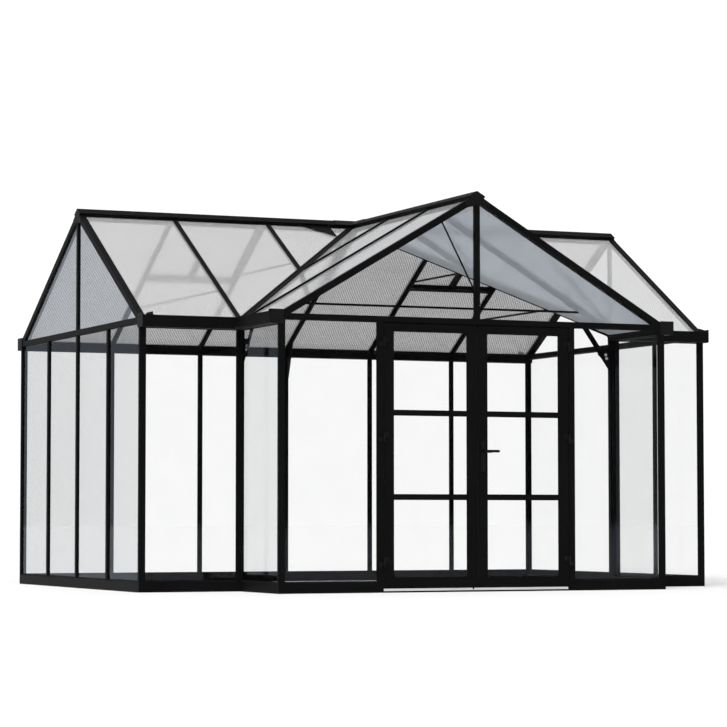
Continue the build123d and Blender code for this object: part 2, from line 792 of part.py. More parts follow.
with BuildPart() as knee_brackets:
    add(valley_knee.part)
    mirror(about=Plane.YZ)
    with BuildSketch(Plane(origin=(0, back_y, eave_height), x_dir=(0, -1, 0), z_dir=(-1, 0, 0))):
        Polygon((frame_depth, back_slope.height_at(frame_depth, frame_depth)), (frame_depth, -beam_drop),
                (flange_far, -beam_drop), (flange_far, -back_knee_drop),
                (back_knee_reach, back_slope.height_at(back_knee_reach, frame_depth)), align=None)
    extrude(amount=knee_thickness / 2, both=True)

# Wall sheets
sheet_foot = base_height - sheet_bite
beam_sheet_head = beam_bottom + sheet_bite
tie_sheet_head = tie_bottom + sheet_bite

with BuildPart() as back_wall_panes:
    with BuildSketch(Plane(origin=(0, back_y - sheet_inset, 0), x_dir=(1, 0, 0), z_dir=(0, -1, 0))):
        for start, end in sheet_spans(frame_depth - half_length, roof_lines, half_length - frame_depth):
            draw_block(start, end, sheet_foot, beam_sheet_head)
    extrude(amount=sheet_thickness)

with BuildPart() as end_wall_panes:
    with BuildSketch(Plane(origin=(sheet_inset - half_length, 0, 0), x_dir=(0, 1, 0), z_dir=(1, 0, 0))):
        for start, end in sheet_spans(eave_y + post_depth, end_lines, back_y - post_depth):
            draw_block(start, end, sheet_foot, tie_sheet_head)
    extrude(amount=sheet_thickness)
    mirror(about=Plane.YZ)

with BuildPart() as wing_front_panes:
    with BuildSketch(Plane(origin=(0, eave_y + sheet_inset, 0), x_dir=(1, 0, 0), z_dir=(0, -1, 0))):
        for start, end in sheet_spans(frame_depth - half_length, (), -half_porch - inner_post_half):
            draw_block(start, end, sheet_foot, beam_sheet_head)
    extrude(amount=-sheet_thickness)
    mirror(about=Plane.YZ)

with BuildPart() as porch_side_panes:
    with BuildSketch(Plane(origin=(sheet_inset - half_porch, 0, 0), x_dir=(0, 1, 0), z_dir=(1, 0, 0))):
        for start, end in sheet_spans(front_y + post_depth, (), eave_y):
            draw_block(start, end, sheet_foot, beam_sheet_head)
    extrude(amount=sheet_thickness)
    mirror(about=Plane.YZ)

with BuildPart() as porch_front_panes:
    with BuildSketch(Plane(origin=(0, front_y + sheet_inset, 0), x_dir=(1, 0, 0), z_dir=(0, -1, 0))):
        for start, end in sheet_spans(frame_depth - half_porch, (), -jamb_outer):
            draw_block(start, end, sheet_foot, tie_sheet_head)
    extrude(amount=-sheet_thickness)
    mirror(about=Plane.YZ)


# Gable sheets, one on each side of a king post
def draw_gable_sheet(slope, run, king_width, ridge_drop):
    """Distance in from the eave, and height over the tie; the top corner stops under the ridge."""
    depth = frame_depth - sheet_bite
    king_side = run - king_width / 2 + sheet_bite
    top = rise + ridge_drop - sheet_clearance
    Polygon((slope.inward_at(-sheet_bite, depth), -sheet_bite), (king_side, -sheet_bite),
            (king_side, top), (slope.inward_at(top, depth), top), align=None)


with BuildPart() as end_gable_panes:
    with BuildSketch(left_gable.offset(sheet_inset)):
        draw_gable_sheet(wing_slope, main_depth / 2, cap_width, main_ridge_drop)
    extrude(amount=sheet_thickness)
    mirror(about=Plane.XZ.offset(-ridge_y))
    mirror(about=Plane.YZ)

with BuildPart() as front_gable_panes:
    with BuildSketch(front_gable.offset(-sheet_inset)):
        draw_gable_sheet(porch_slope, half_porch, front_king_width, porch_ridge_drop)
    extrude(amount=-sheet_thickness)
    mirror(about=Plane.YZ)

# Roof sheets; the back roof's second bay from each end is open at the top for a vent
sill_foot = back_slope.apex - vent_length - vent_sill_width / 2
sill_head = sill_foot + vent_sill_width
back_spans = sheet_spans(frame_depth - half_length, roof_lines, half_length - frame_depth)
vent_bays = (1, len(back_spans) - 2)
back_sheets = []
for bay, (start, end) in enumerate(back_spans):
    head = sill_foot if bay in vent_bays else back_slope.head
    back_sheets.append(roof_sheet(back_slope, start, end, head + sheet_bite))

wing_sheet_cut = beside_valley(valley_half_width - sheet_bite)
porch_sheet_cut = beside_valley(sheet_bite - valley_half_width)
wing_spans = sheet_spans(frame_depth - half_length, (-half_porch, -half_porch / 2), -sheet_bite)
wing_sheets = [roof_sheet(wing_slope, start, end, wing_slope.head + sheet_bite, wing_sheet_cut)
               for start, end in wing_spans]
porch_spans = sheet_spans(-main_depth / 2, (-main_depth / 4, 0), porch_depth - frame_depth)
porch_sheets = [roof_sheet(porch_slope, start, end, porch_slope.head + sheet_bite, porch_sheet_cut)
                for start, end in porch_spans]

with BuildPart() as back_roof_panels:
    add(back_sheets)

with BuildPart() as wing_roof_panels:
    add(wing_sheets)
    mirror(about=Plane.YZ)

with BuildPart() as porch_roof_panels:
    add(porch_sheets)
    mirror(about=Plane.YZ)

# Roof vents: a sill between two rafters, a sash laid over the opening, its sheet and its stay
vent_from = half_porch / 2 + cap_width / 2
vent_to = half_porch - cap_width / 2
vent_middle = (vent_from + vent_to) / 2
sash_head = back_slope.head - vent_ridge_gap


def draw_sash(inset, mode=Mode.ADD):
    draw_block(vent_from - sash_lap + inset, vent_to + sash_lap - inset,
               sill_foot + inset, sash_head - inset, mode)


sash_groove = (sash_height - slot_width) / 2

with BuildPart() as roof_vent_sills:
    with BuildSketch(back_slope.flat(vent_sill_depth)):
        draw_block(vent_from, vent_to, sill_foot, sill_head)
    extrude(amount=vent_sill_depth)
    with BuildSketch(back_slope.flat(slot_far)):
        draw_block(vent_from, vent_to, sill_foot, sill_foot + groove_depth)
    extrude(amount=slot_width, mode=Mode.SUBTRACT)
    mirror(about=Plane.YZ)

with BuildPart() as roof_vent_sashes:
    with BuildSketch(back_slope.flat(0)):
        draw_sash(0)
        draw_sash(sash_width, Mode.SUBTRACT)
    extrude(amount=sash_height)
    with BuildSketch(back_slope.flat(-sash_groove)):
        draw_sash(sash_width - groove_depth)
    extrude(amount=slot_width, mode=Mode.SUBTRACT)
    mirror(about=Plane.YZ)

with BuildPart() as roof_vent_panes:
    with BuildSketch(back_slope.flat(-sash_groove - sheet_clearance)):
        draw_sash(sash_width - sheet_bite)
    extrude(amount=sheet_thickness)
    mirror(about=Plane.YZ)

with BuildPart() as roof_vent_stays:
    with BuildSketch(back_slope.flat(stay_inset + stay_thickness)):
        draw_block(vent_middle - stay_width / 2, vent_middle + stay_width / 2,
                   sill_head, sill_head + stay_length)
    extrude(amount=stay_thickness)
    mirror(about=Plane.YZ)

# Door leaves: two stiles, four rails and three sheets each
hinge_edge = leaf_gap - half_door
meeting_edge = -meeting_gap / 2
leaf_top = tie_bottom - head_gap
leaf_height = leaf_top - leaf_bottom
rail_from = hinge_edge + stile_width
rail_to = meeting_edge - stile_width
leaf_inset = (leaf_depth - sheet_thickness) / 2
leaf_slot_near = leaf_inset - sheet_clearance
leaf_slot_far = leaf_slot_near + slot_width
bar_middles = [leaf_bottom + share * leaf_height for share in door_bar_shares]
rail_bottoms = [leaf_bottom] + [z - door_bar_height / 2 for z in bar_middles] + [leaf_top - top_rail_height]
rail_tops = [leaf_bottom + bottom_rail_height] + [z + door_bar_height / 2 for z in bar_middles] + [leaf_top]

with BuildPart() as left_door_stiles:
    with BuildSketch(wall_section((0, front_y, leaf_bottom), FRONT)):
        draw_block(hinge_edge, rail_from, 0, leaf_depth)
        draw_block(rail_to, meeting_edge, 0, leaf_depth)
        draw_block(rail_from - groove_depth, rail_from, leaf_slot_near, leaf_slot_far, Mode.SUBTRACT)
        draw_block(rail_to, rail_to + groove_depth, leaf_slot_near, leaf_slot_far, Mode.SUBTRACT)
    extrude(amount=leaf_height)

with BuildPart() as left_door_rails:
    with BuildSketch(rail_section((rail_from, front_y, 0), FRONT)):
        for bottom, top in zip(rail_bottoms, rail_tops):
            draw_block(0, leaf_depth, bottom, top)
        for bottom in rail_bottoms[1:]:
            draw_block(leaf_slot_near, leaf_slot_far, bottom, bottom + groove_depth, Mode.SUBTRACT)
        for top in rail_tops[:-1]:
            draw_block(leaf_slot_near, leaf_slot_far, top - groove_depth, top, Mode.SUBTRACT)
    extrude(amount=rail_to - rail_from)

with BuildPart() as left_door_panes:
    with BuildSketch(Plane(origin=(0, front_y + leaf_inset, 0), x_dir=(1, 0, 0), z_dir=(0, -1, 0))):
        for foot, head in zip(rail_tops[:-1], rail_bottoms[1:]):
            draw_block(rail_from - sheet_bite, rail_to + sheet_bite, foot - sheet_bite, head + sheet_bite)
    extrude(amount=-sheet_thickness)

spindle_x = -meeting_edge + stile_width / 2
spindle_front = Plane(origin=(spindle_x, front_y, handle_height), x_dir=(1, 0, 0), z_dir=(0, -1, 0))
leaf_middle = Plane.XZ.offset(-front_y - leaf_depth / 2)

with BuildPart() as right_door_stiles:
    mirror(left_door_stiles.part, about=Plane.YZ)
    with BuildSketch(spindle_front):
        Circle(spindle_radius + bore_clearance)
    extrude(amount=-leaf_depth, mode=Mode.SUBTRACT)

with BuildPart() as right_door_rails:
    mirror(left_door_rails.part, about=Plane.YZ)

with BuildPart() as right_door_panes:
    mirror(left_door_panes.part, about=Plane.YZ)

# Lift-off hinges: the lower half with its pin is on the jamb, and the upper half is on the leaf
hinge_x = half_door - leaf_gap / 2
hinge_y = front_y - hinge_radius - hinge_clearance
hinge_heights = [leaf_bottom + share * leaf_height for share in hinge_shares]

with BuildPart() as door_hinge_pins:
    for height in hinge_heights:
        with BuildSketch(Plane(origin=(-hinge_x, 0, height - hinge_half_height))):
            draw_block(-hinge_plate_width, 0, front_y - hinge_plate_thickness, front_y)
            with Locations((0, hinge_y)):
                Circle(hinge_radius)
        extrude(amount=hinge_half_height - hinge_joint_gap)
        with BuildSketch(Plane(origin=(-hinge_x, hinge_y, height - hinge_half_height))):
            Circle(hinge_pin_radius)
        extrude(amount=2 * hinge_half_height - hinge_pin_end)
    mirror(about=Plane.YZ)

with BuildPart() as left_door_hinges:
    for height in hinge_heights:
        with BuildSketch(Plane(origin=(-hinge_x, 0, height + hinge_joint_gap))):
            draw_block(0, hinge_plate_width, front_y - hinge_plate_thickness, front_y)
            with Locations((0, hinge_y)):
                Circle(hinge_radius)
                Circle(hinge_pin_radius + hinge_bore_clearance, mode=Mode.SUBTRACT)
        extrude(amount=hinge_half_height - hinge_joint_gap)

with BuildPart() as right_door_hinges:
    mirror(left_door_hinges.part, about=Plane.YZ)

# Lever handle on both faces of the right leaf, with its plates, and a floor bolt inside the left leaf
with BuildPart() as handle_plates:
    with BuildSketch(spindle_front):
        with Locations((0, -plate_drop)):
            RectangleRounded(plate_width, plate_height, plate_end_radius)
        Circle(neck_radius + bore_clearance, mode=Mode.SUBTRACT)
    extrude(amount=plate_thickness)
    mirror(about=leaf_middle)

with BuildPart() as door_handle:
    with BuildSketch(spindle_front.offset(bore_clearance)):
        Circle(neck_radius)
    extrude(amount=handle_proud - bore_clearance)
    with BuildSketch(spindle_front.offset(handle_proud - lever_thickness)):
        with Locations(((lever_length - lever_height) / 2, 0)):
            SlotCenterToCenter(lever_length - lever_height, lever_height)
    extrude(amount=lever_thickness)
    with BuildSketch(spindle_front.offset(-leaf_depth / 2)):
        Circle(spindle_radius)
    extrude(amount=leaf_depth / 2 + handle_proud)
    mirror(about=leaf_middle)

bolt_x = meeting_edge - bolt_inset
bolt_y = front_y + leaf_depth + bolt_strap_thickness / 2
bolt_foot = threshold_height + bolt_floor_gap

with BuildPart() as left_door_bolt:
    with BuildSketch(Plane(origin=(bolt_x, bolt_y, bolt_foot))):
        Circle(bolt_radius)
    extrude(amount=bolt_length)
    for share in bolt_strap_shares:
        with BuildSketch(Plane(origin=(bolt_x, bolt_y, bolt_foot + share * bolt_length))):
            Rectangle(bolt_strap_width, bolt_strap_thickness)
        extrude(amount=bolt_strap_height / 2, both=True)

os.makedirs("parts", exist_ok=True)
pieces = {
    "base_rails_long": base_rails_long,
    "base_rails_cross": base_rails_cross,
    "door_threshold": door_threshold,
    "corner_posts": corner_posts,
    "back_wall_mullions": back_wall_mullions,
    "end_wall_mullions": end_wall_mullions,
    "door_jambs": door_jambs,
    "end_gable_ties": end_gable_ties,
    "door_header": door_header,
    "eave_gutter_back": eave_gutter_back,
    "eave_gutters_wings": eave_gutters_wings,
    "eave_gutters_porch": eave_gutters_porch,
    "gutter_end_caps": gutter_end_caps,
    "main_ridge_beam": main_ridge_beam,
    "porch_ridge_beam": porch_ridge_beam,
    "ridge_junction_cap": ridge_junction_cap,
    "ridge_end_caps": ridge_end_caps,
    "end_gable_rafters": end_gable_rafters,
    "front_gable_rafters": front_gable_rafters,
    "back_rafters": back_rafters,
    "wing_rafters": wing_rafters,
    "porch_rafters": porch_rafters,
    "valley_rafters": valley_rafters,
    "king_posts": king_posts,
    "collar_ties": collar_ties,
    "ridge_brace": ridge_brace,
    "knee_brackets": knee_brackets,
    "back_wall_panes": back_wall_panes,
    "end_wall_panes": end_wall_panes,
    "wing_front_panes": wing_front_panes,
    "porch_side_panes": porch_side_panes,
    "porch_front_panes": porch_front_panes,
    "end_gable_panes": end_gable_panes,
    "front_gable_panes": front_gable_panes,
    "back_roof_panels": back_roof_panels,
    "wing_roof_panels": wing_roof_panels,
    "porch_roof_panels": porch_roof_panels,
    "roof_vent_sills": roof_vent_sills,
    "roof_vent_sashes": roof_vent_sashes,
    "roof_vent_panes": roof_vent_panes,
    "roof_vent_stays": roof_vent_stays,
    "door_hinge_pins": door_hinge_pins,
    "left_door_stiles": left_door_stiles,
    "left_door_rails": left_door_rails,
    "left_door_panes": left_door_panes,
    "left_door_hinges": left_door_hinges,
    "left_door_bolt": left_door_bolt,
    "right_door_stiles": right_door_stiles,
    "right_door_rails": right_door_rails,
    "right_door_panes": right_door_panes,
    "right_door_hinges": right_door_hinges,
    "handle_plates": handle_plates,
    "door_handle": door_handle,
}
for name, piece in pieces.items():
    piece.part.label = name
    export_step(piece.part, f"parts/{name}.step")
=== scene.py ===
import bmesh
import bpy
import json
from math import atan2, cos, pi, radians
from mathutils import Matrix, Vector


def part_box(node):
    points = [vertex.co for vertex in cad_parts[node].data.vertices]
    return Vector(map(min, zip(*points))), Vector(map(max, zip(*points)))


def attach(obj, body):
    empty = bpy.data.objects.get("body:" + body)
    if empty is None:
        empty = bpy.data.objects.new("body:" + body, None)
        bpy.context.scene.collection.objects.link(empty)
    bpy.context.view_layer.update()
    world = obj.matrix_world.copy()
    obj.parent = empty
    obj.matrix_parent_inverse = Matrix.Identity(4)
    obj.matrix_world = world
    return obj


# A glass greenhouse with a black frame, clear wall sheets and a twin-wall roof.
# Metres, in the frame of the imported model: +Z up, doors towards -Y, origin on the ground.
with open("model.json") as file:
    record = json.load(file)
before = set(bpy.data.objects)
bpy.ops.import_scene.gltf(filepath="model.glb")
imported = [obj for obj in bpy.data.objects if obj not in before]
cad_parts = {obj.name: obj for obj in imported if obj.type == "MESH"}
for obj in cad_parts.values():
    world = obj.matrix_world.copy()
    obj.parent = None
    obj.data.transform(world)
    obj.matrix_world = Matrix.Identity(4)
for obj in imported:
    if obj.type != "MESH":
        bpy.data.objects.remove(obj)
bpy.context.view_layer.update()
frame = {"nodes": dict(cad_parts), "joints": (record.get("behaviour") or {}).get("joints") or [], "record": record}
cad_nodes = frame["nodes"]
joint_places = {joint["name"]: Vector(joint["pos_m"]) for joint in frame["joints"]}

# Camera, as the photograph was taken
camera_place = (-8.226, -18.750, 0.491)
camera_turn_deg = (93.2585, 0.018, -23.479)
camera_lens_mm = 135.95
sensor_mm = 36.0

# Studio
floor_size = 400.0
floor_tone = (0.843, 0.836, 0.825, 1.0)
backdrop_tone = (1.07, 1.07, 1.07, 1.0)
room_tone = (0.56, 0.565, 0.58, 1.0)
flag_tone = (0.03, 0.03, 0.033, 1.0)
flag_way = Vector((0.36, -0.93, 0.0)).normalized()
flag_start = 0.15
flag_full = 0.75
sun_strength = 3.4
sun_angle_deg = 50.0
sun_turn_deg = (38.0, -12.0, -20.0)
sheet_faces_in_line = 48      # faces of clear sheets that a ray may pass through

# Sheets
outer_mirror = 1.6            # strength of the reflection seen from outside the house
inner_mirror = 0.8
most_mirror = 0.4             # the largest share of light that a sheet mirrors
sheet_index = 1.5
hatch_along = 0.020           # spacing of the roof sheets' dots, in plan
hatch_up = 0.028
twin_wall_index = 1.2
upper_hatch = 0.18            # strength of the dots on the upper face; on faces that point down they are at full strength, a painted shade that darkens the undersides
hatch_span = (-0.6, 0.6)      # from a dark dot to the light between the dots
hatch_strength = 0.04
hatch_relief = 0.0006
twin_wall_shine = 0.3
frost_spread = 0.03           # change of roughness over a roof sheet
haze_tones = ((0.986, 0.988, 0.987, 1.0), (0.994, 0.995, 0.994, 1.0))
haze_roughness = (0.015, 0.05)
haze_span = (0.35, 0.65)
veil_share = 0.30             # milky share of the porch roof's inner skin
milk_tones = ((0.84, 0.88, 0.92, 1.0), (0.90, 0.93, 0.96, 1.0))
milk_roughness = 0.45
milk_shine = 0.25
veil_tone = (0.90, 0.93, 0.97, 1.0)

# Coatings
noise_span = (0.3, 0.7)       # the range that most of a noise lies in
peel_strength = 0.12
peel_relief = 0.0006
zinc_tones = ((0.42, 0.42, 0.43, 1.0), (0.62, 0.62, 0.62, 1.0))
zinc_roughness = (0.28, 0.42)
floor_roughness = 0.9
floor_shine = 0.1

# Frame places that the small pieces go by
long_bays = 6
porch_bays = 4
end_bays = 4
front_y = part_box("base_rails_long")[0].y
back_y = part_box("base_rails_long")[1].y
rail_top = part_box("base_rails_long")[1].z
half_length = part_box("end_wall_mullions")[1].x
bay = 2 * half_length / long_bays
half_porch = porch_bays * bay / 2
eave_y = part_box("eave_gutters_porch")[1].y
ridge_y = (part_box("main_ridge_beam")[0].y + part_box("main_ridge_beam")[1].y) / 2
eave_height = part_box("door_header")[1].z
apex_height = 2.734           # where the roof's top planes meet, under the ridge caps
rise = apex_height - eave_height
main_run = ridge_y - eave_y
main_pitch = atan2(rise, main_run)
porch_pitch = atan2(rise, half_porch)
roof_bar_depth = 0.045
wall_bar_depth = back_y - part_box("back_wall_mullions")[0].y
leaf_low, leaf_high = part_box("left_door_stiles")
hinge_x = joint_places["right_door_swing"].x
plate_low, plate_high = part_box("handle_plates")
plate_x = joint_places["lever_turn"].x
handle_height = joint_places["lever_turn"].z

# The left valley in plan: its foot, its way up and its way across, towards the porch
valley_foot = Vector((-half_porch, eave_y, 0))
valley_way = Vector((half_porch, main_run, 0)).normalized()
valley_across = Vector((valley_way.y, -valley_way.x, 0))

# Fasteners: radius of the foot, radius of the head, height, radius and depth of the socket
bolt_sizes = (0.011, 0.008, 0.0055, 0.0045, 0.003)
flat_bolt_sizes = (0.011, 0.008, 0.0022, 0.0045, 0.0012)
screw_sizes = (0.0042, 0.0034, 0.0016, 0.0019, 0.0009)
fastener_corners = 12
fastener_rounding = 0.0003
washer_share = 0.25           # thickness of the foot, of the height

# Door fittings
lock_corners = 24
lock_radius = 0.0085
lock_lobe = 0.01615           # length of the lobe under the plug
lobe_start_share = 0.75       # of the radius, where the lobe begins
lock_thickness = 0.004
lock_drop = 0.097             # handle's axis down to the lock's plug
plug_step = 0.0008
plug_rim = 0.0022
keyway_inset = 0.0026
keyway_narrowing = 0.35
keyway_depth = 0.003
lock_rounding = 0.0002
rose_corners = 32
rose_radius = 0.0155
rose_ring = 0.006
rose_thickness = 0.004
rose_rounding = 0.0008
plate_screw_inset = 0.012
hinge_shares = (0.1, 0.57, 0.93)          # of the leaf's height
hinge_plate_thickness = 0.003
hinge_screw_reaches = (0.015, 0.028)      # from the hinge's axis
hinge_screw_offset = 0.016                # over or under the hinge's middle

# Beads and seal
bead_width = 0.005
bead_thickness = 0.004
bead_rounding = 0.0012
sheet_bite = 0.009
seal_overlap = 0.006
seal_gap = 0.0055
seal_depth = 0.0115
seal_lap = 0.018
seal_lip = 0.006
seal_inset = 0.002
seal_narrowing = 0.4

# Brackets at the mullions' feet
bracket_half_width = 0.014
bracket_reach = 0.02
bracket_thickness = 0.0025
bracket_height = 0.03
bracket_screw_reach = 0.012
bracket_screw_height = 0.019

# Knee gussets and bolts: distances along the valley from its foot, and heights
knee_half_thickness = 0.0025
knee_climb = 1.535            # slope of a knee plate's strap
gusset_start = 0.055
gusset_end = 0.138
gusset_foot = 1.618
gusset_head = 1.745
gusset_thickness = 0.003
knee_bolt_places = ((0.069, 1.671), (0.076, 1.698))
gable_bolt_reaches = (0.035, 0.085)       # level distance from the apex
gable_bolt_drop = 0.024

# Inner skin of the porch roof
lining_head = 0.06            # level distance from the porch's middle
lining_foot = 1.42
lining_length = 2.2
lining_start = 0.046          # behind the front gable's face
lining_gap = 0.0015
lining_thickness = 0.0025
lining_valley_gap = 0.026

# Corner flashings: the tip, and the way out of the slanted edge, are those of the left one
flashing_size = (0.44, 0.24)
flashing_x = 0.24
flashing_y = 0.19
flashing_lift = 0.001
flashing_thickness = 0.003
flashing_valley_gap = 0.01
flashing_end = 0.235
flashing_tip = Vector((-0.42, 0.268, 0))
flashing_edge_out = Vector((-0.13, -0.184, 0)).normalized()

# Gutter clips
lip_thickness = 0.002
clip_half_width = 0.028
clip_depth = 0.014
clip_foot = 0.003
clip_step = 0.003
clip_from_end = 0.0495
tab_height = 0.009
tab_rise = 0.011
tab_taper = (0.95, 0.6, 1.0)

# Shaping
merge_distance = 0.00001
rounding_width = 0.0006
smooth_angle_deg = 35.0
level_limit = 0.9             # a level face's way out rises or falls by more than this

# Ways out of a face
forwards = Vector((0, -1, 0))
backwards = Vector((0, 1, 0))
skywards = Vector((0, 0, 1))


def deselect():
    bpy.ops.object.select_all(action="DESELECT")


def new_material(name):
    material = bpy.data.materials.new(name)
    material.use_nodes = True
    tree = material.node_tree
    tree.nodes.clear()
    output = tree.nodes.new("ShaderNodeOutputMaterial")
    return material, tree, output


def object_coordinates(tree):
    return tree.nodes.new("ShaderNodeTexCoord").outputs["Object"]


def noise(tree, coordinates, scale, detail, roughness=0.5):
    node = tree.nodes.new("ShaderNodeTexNoise")
    node.inputs["Scale"].default_value = scale
    node.inputs["Detail"].default_value = detail
    node.inputs["Roughness"].default_value = roughness
    tree.links.new(coordinates, node.inputs["Vector"])
    return node.outputs["Fac"]


def ramp(tree, factor, low, high, start=0.0, end=1.0):
    """A colour that goes from low to high as factor goes from start to end."""
    node = tree.nodes.new("ShaderNodeValToRGB")
    node.color_ramp.elements[0].position = start
    node.color_ramp.elements[1].position = end
    node.color_ramp.elements[0].color = low
    node.color_ramp.elements[1].color = high
    tree.links.new(factor, node.inputs["Fac"])
    return node.outputs["Color"]


def spread(tree, factor, low, high, start=0.0, end=1.0):
    """A number that goes from low to high as factor goes from start to end."""
    node = tree.nodes.new("ShaderNodeMapRange")
    node.inputs["From Min"].default_value = start
    node.inputs["From Max"].default_value = end
    node.inputs["To Min"].default_value = low
    node.inputs["To Max"].default_value = high
    tree.links.new(factor, node.inputs["Value"])
    return node.outputs["Result"]


def arithmetic(tree, operation, first, second=None):
    node = tree.nodes.new("ShaderNodeMath")
    node.operation = operation
    for socket, value in zip(node.inputs, (first, second)):
        if value is None:
            continue
        if isinstance(value, (int, float)):
            socket.default_value = value
        else:
            tree.links.new(value, socket)
    return node.outputs["Value"]


def bump(tree, height, strength, distance):
    node = tree.nodes.new("ShaderNodeBump")
    node.inputs["Strength"].default_value = strength
    node.inputs["Distance"].default_value = distance
    tree.links.new(height, node.inputs["Height"])
    return node.outputs["Normal"]


def principled(tree, output):
    shader = tree.nodes.new("ShaderNodeBsdfPrincipled")
    tree.links.new(shader.outputs["BSDF"], output.inputs["Surface"])
    return shader


def mix_shaders(tree, output, first, second):
    """Shows a mix of two shaders, and gives back the socket of the second one's share."""
    mix = tree.nodes.new("ShaderNodeMixShader")
    tree.links.new(first.outputs[0], mix.inputs[1])
    tree.links.new(second.outputs[0], mix.inputs[2])
    tree.links.new(mix.outputs["Shader"], output.inputs["Surface"])
    return mix.inputs["Fac"]


def powder_coat(name, dark, light, rough_low, rough_high, shine, grain=900.0):
    """Satin black coating: a fine orange peel, with slow changes of tone and gloss."""
    material, tree, output = new_material(name)
    place = object_coordinates(tree)
    shader = principled(tree, output)
    slow = noise(tree, place, scale=2.3, detail=3.0)
    peel = noise(tree, place, scale=grain, detail=2.0)
    tree.links.new(ramp(tree, slow, dark, light, *noise_span), shader.inputs["Base Color"])
    tree.links.new(spread(tree, peel, rough_low, rough_high, *noise_span), shader.inputs["Roughness"])
    tree.links.new(bump(tree, peel, peel_strength, peel_relief), shader.inputs["Normal"])
    shader.inputs["Specular IOR Level"].default_value = shine
    return material


def mirror_share(tree, place):
    """The share of light that a clear sheet mirrors: more at a slant and from outside, on its near face."""
    slant = tree.nodes.new("ShaderNodeFresnel")
    slant.inputs["IOR"].default_value = sheet_index
    side = tree.nodes.new("ShaderNodeNewGeometry")
    near_face = arithmetic(tree, "SUBTRACT", 1.0, side.outputs["Backfacing"])
    away = tree.nodes.new("ShaderNodeVectorMath")
    away.operation = "DOT_PRODUCT"
    tree.links.new(side.outputs["Normal"], away.inputs[0])
    tree.links.new(place, away.inputs[1])
    outside = arithmetic(tree, "GREATER_THAN", away.outputs["Value"], 0.0)
    strength = spread(tree, outside, inner_mirror, outer_mirror)
    two_faces = arithmetic(tree, "MULTIPLY", slant.outputs["Fac"], strength)
    held_back = arithmetic(tree, "MINIMUM", two_faces, most_mirror)
    return arithmetic(tree, "MULTIPLY", held_back, near_face)


def clear_sheet(name, mirror_tone):
    """Clear sheet: see-through, with a tinted reflection and a faint haze of marks."""
    material, tree, output = new_material(name)
    place = object_coordinates(tree)
    smear = noise(tree, place, scale=5.0, detail=4.0, roughness=0.6)
    through = tree.nodes.new("ShaderNodeBsdfTransparent")
    tree.links.new(ramp(tree, smear, *haze_tones, *noise_span), through.inputs["Color"])
    gloss = tree.nodes.new("ShaderNodeBsdfGlossy")
    gloss.inputs["Color"].default_value = mirror_tone
    tree.links.new(spread(tree, smear, *haze_roughness, *haze_span), gloss.inputs["Roughness"])
    tree.links.new(mirror_share(tree, place), mix_shaders(tree, output, through, gloss))
    return material


def twin_wall(name, under, light, through, rough):
    """Translucent twin-wall sheet with a fine dotted hatch, even in plan, as its pattern; on faces that point down
    the dots are at full strength, a painted shade that darkens the undersides.
    """
    material, tree, output = new_material(name)
    place = object_coordinates(tree)
    parts = tree.nodes.new("ShaderNodeSeparateXYZ")
    tree.links.new(place, parts.inputs["Vector"])
    along = arithmetic(tree, "SINE", arithmetic(tree, "MULTIPLY", parts.outputs["X"], 2 * pi / hatch_along))
    up = arithmetic(tree, "SINE", arithmetic(tree, "MULTIPLY", parts.outputs["Y"], 2 * pi / hatch_up))
    hatch = arithmetic(tree, "MULTIPLY", along, up)
    way_out = tree.nodes.new("ShaderNodeSeparateXYZ")
    tree.links.new(tree.nodes.new("ShaderNodeNewGeometry").outputs["Normal"], way_out.inputs["Vector"])
    # Painted shade: faces that point down take the dots at full strength, so the undersides come out darker than
    # the tops.
    painted_shade_below = arithmetic(tree, "LESS_THAN", way_out.outputs["Z"], 0.0)
    dots = spread(tree, hatch, 1.0, 0.0, *hatch_span)
    strength = arithmetic(tree, "MULTIPLY", dots, spread(tree, painted_shade_below, upper_hatch, 1.0))
    frost = noise(tree, place, scale=3.0, detail=3.0)
    shader = principled(tree, output)
    shader.inputs["Transmission Weight"].default_value = through
    shader.inputs["IOR"].default_value = twin_wall_index
    shader.inputs["Specular IOR Level"].default_value = twin_wall_shine
    tree.links.new(ramp(tree, strength, light, under), shader.inputs["Base Color"])
    roughness = spread(tree, frost, rough, rough + frost_spread, *noise_span)
    tree.links.new(roughness, shader.inputs["Roughness"])
    tree.links.new(bump(tree, hatch, hatch_strength, hatch_relief), shader.inputs["Normal"])
    return material


def veil(name):
    """A milky inner skin: what lies close behind it shows as a faint shadow."""
    material, tree, output = new_material(name)
    cloud = noise(tree, object_coordinates(tree), scale=1.6, detail=3.0)
    milk = tree.nodes.new("ShaderNodeBsdfPrincipled")
    milk.inputs["Roughness"].default_value = milk_roughness
    milk.inputs["Specular IOR Level"].default_value = milk_shine
    tree.links.new(ramp(tree, cloud, *milk_tones, *noise_span), milk.inputs["Base Color"])
    through = tree.nodes.new("ShaderNodeBsdfTransparent")
    through.inputs["Color"].default_value = veil_tone
    mix_shaders(tree, output, through, milk).default_value = veil_share
    return material


def plated_steel(name):
    """Bright zinc plating with fine marks."""
    material, tree, output = new_material(name)
    shader = principled(tree, output)
    marks = noise(tree, object_coordinates(tree), scale=600.0, detail=3.0)
    shader.inputs["Metallic"].default_value = 1.0
    tree.links.new(ramp(tree, marks, *zinc_tones, *noise_span), shader.inputs["Base Color"])
    tree.links.new(spread(tree, marks, *zinc_roughness, *noise_span), shader.inputs["Roughness"])
    return material


